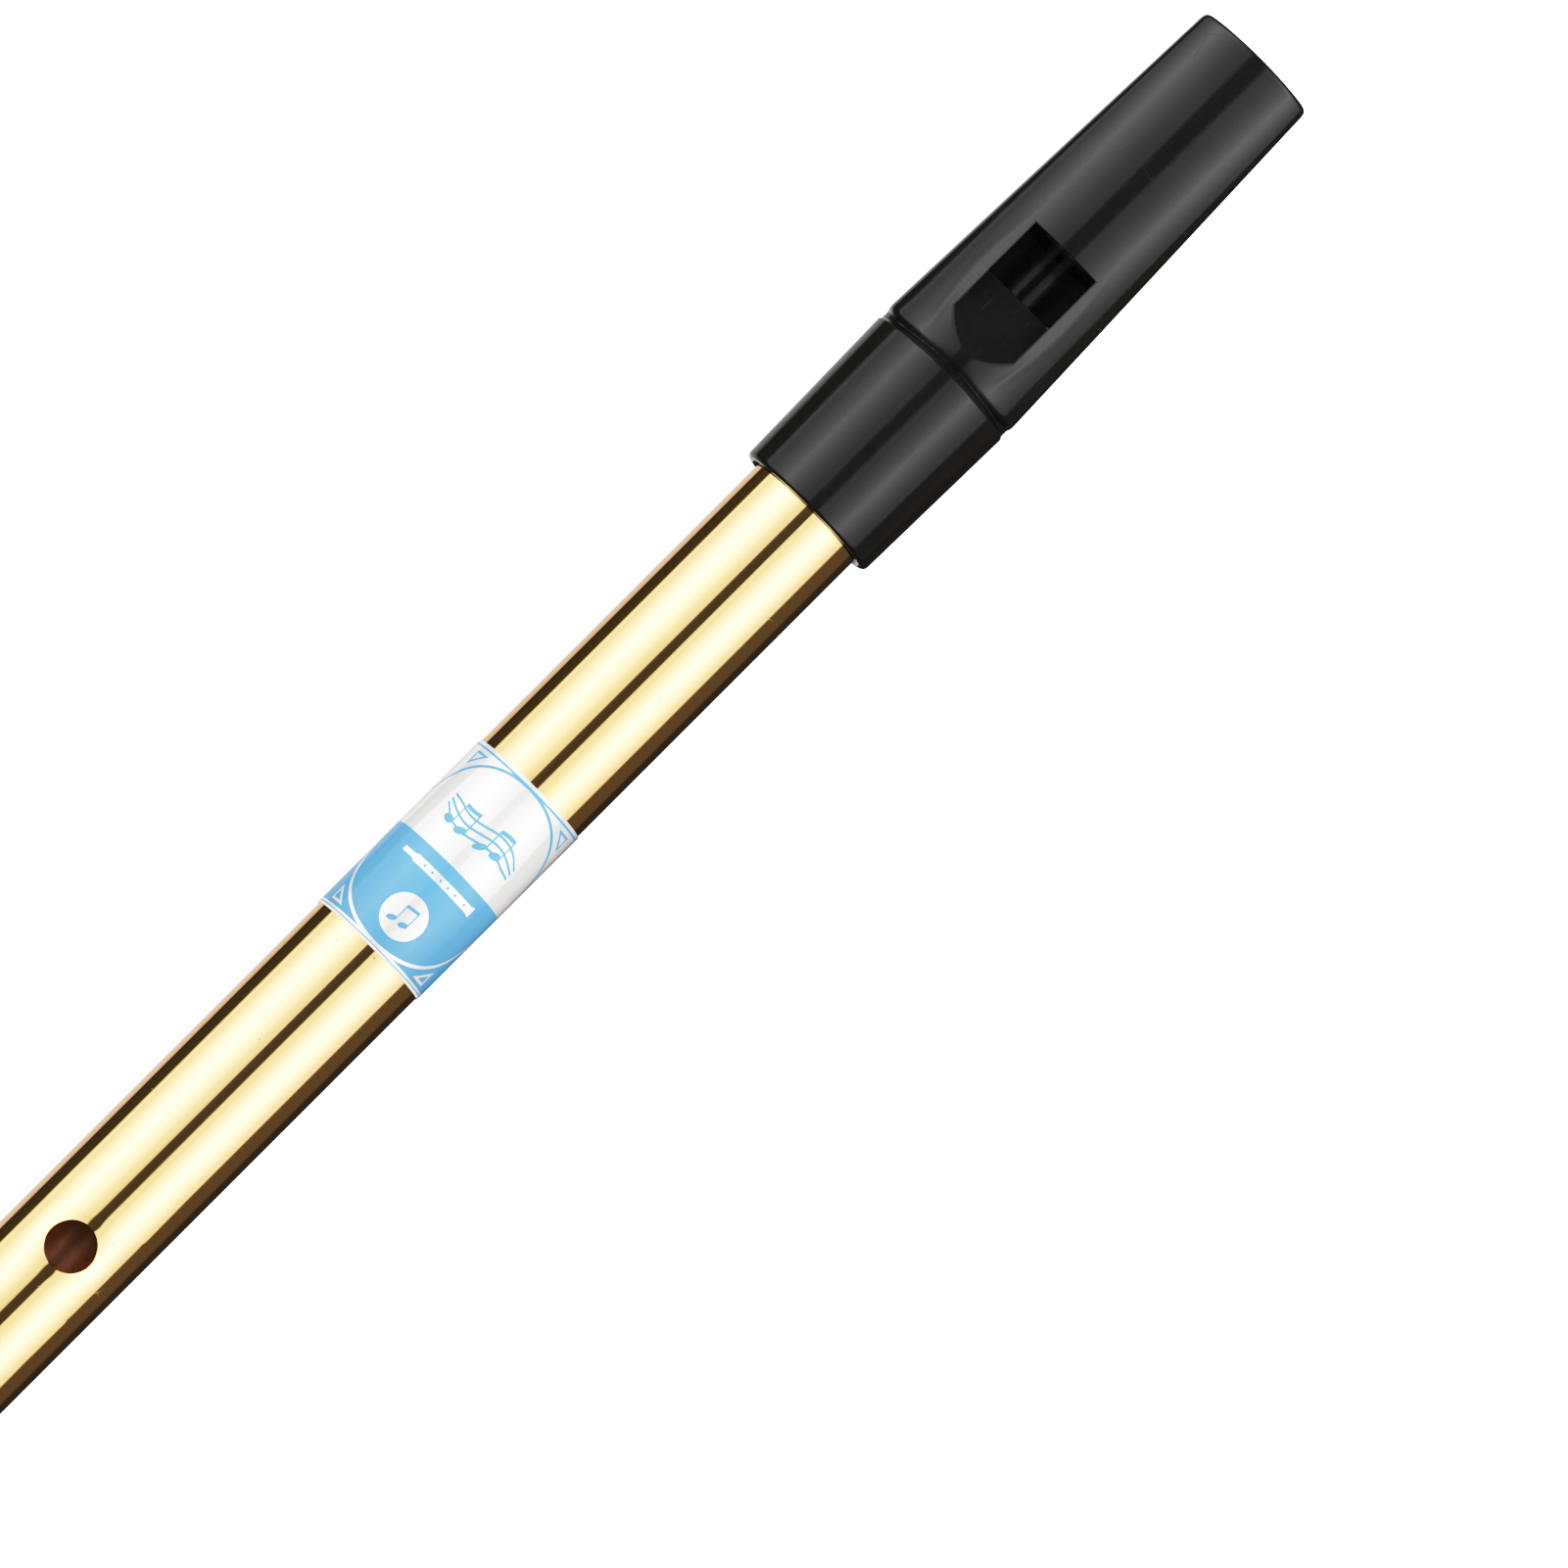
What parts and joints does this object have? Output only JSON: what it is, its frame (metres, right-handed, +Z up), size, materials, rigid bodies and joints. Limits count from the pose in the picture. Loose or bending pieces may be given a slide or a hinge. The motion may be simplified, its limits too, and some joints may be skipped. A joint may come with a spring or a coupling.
{
  "type": "tin whistle",
  "caption": "Slim brass-tube whistle with finger holes in line along the front, a wrap label and a dark moulded beak with a sound window and ramp.",
  "frame": {"origin": "centre of the tube's open foot end, on the tube's axis", "axes": "+X along the tube from the foot end to the mouth tip, +Z the side with the tone holes and the sound window, +Y to the left of a view from the foot end with +Z up"},
  "size_m": [0.301, 0.0156, 0.0156],
  "materials": {
    "brass": "polished and lacquered",
    "label": "printed film, satin",
    "moulding": "gloss moulded",
    "block": "satin moulded"
  },
  "bodies": {
    "body": {"tube": "brass", "label": "label"},
    "head": {"mouthpiece": "moulding", "fipple_block": "block"}
  },
  "joints": [
    {"name": "head_slide", "type": "slide", "parent": "body", "child": "head", "axis": [1, 0, 0], "range_m": [0, 0.012]}
  ]
}
